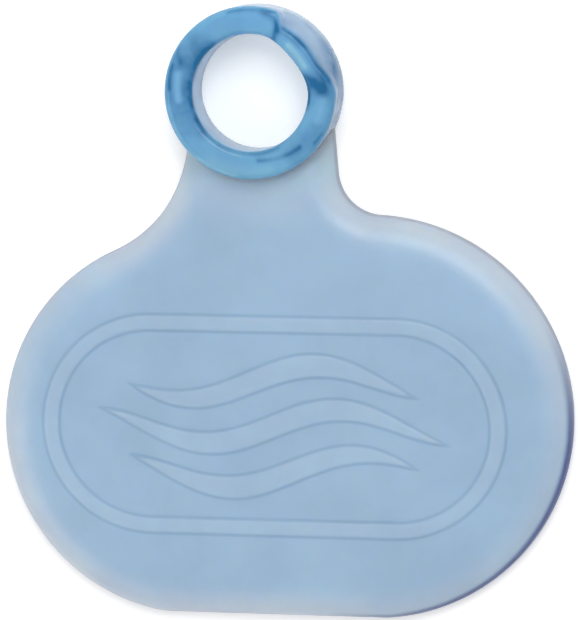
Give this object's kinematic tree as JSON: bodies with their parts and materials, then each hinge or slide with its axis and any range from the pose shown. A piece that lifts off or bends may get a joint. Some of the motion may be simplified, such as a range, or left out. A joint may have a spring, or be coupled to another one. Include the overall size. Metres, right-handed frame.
{
  "type": "vibration dampener",
  "caption": "Soft translucent sting dampener: an oval palm pad on a short bending neck, with a thick thumb ring standing proud at the top.",
  "frame": {"origin": "on the thumb ring's axis, in the flat back face of the part", "axes": "+Z out of the front face, along the ring's axis; +Y from the palm pad towards the ring; +X to the right, seen from the front with the ring up"},
  "size_m": [0.0798, 0.0849, 0.008],
  "materials": {
    "clear_blue_pad": "smooth satin, see-through pale blue elastomer",
    "clear_blue_ring": "the same elastomer, deeper blue where it is thicker, glossy"
  },
  "bodies": {
    "pad": {"palm_pad": "clear_blue_pad", "neck_web": "clear_blue_pad"},
    "ring": {"thumb_ring": "clear_blue_ring"}
  },
  "joints": [
    {"name": "neck_bend", "type": "hinge", "parent": "pad", "child": "ring", "pos_m": [0.00075, -0.01485, 0.00225], "axis": [1, 0, 0], "range_deg": [-60, 90], "stiffness_Nm_per_rad": 0.03, "deforming": ["neck_web"]}
  ]
}
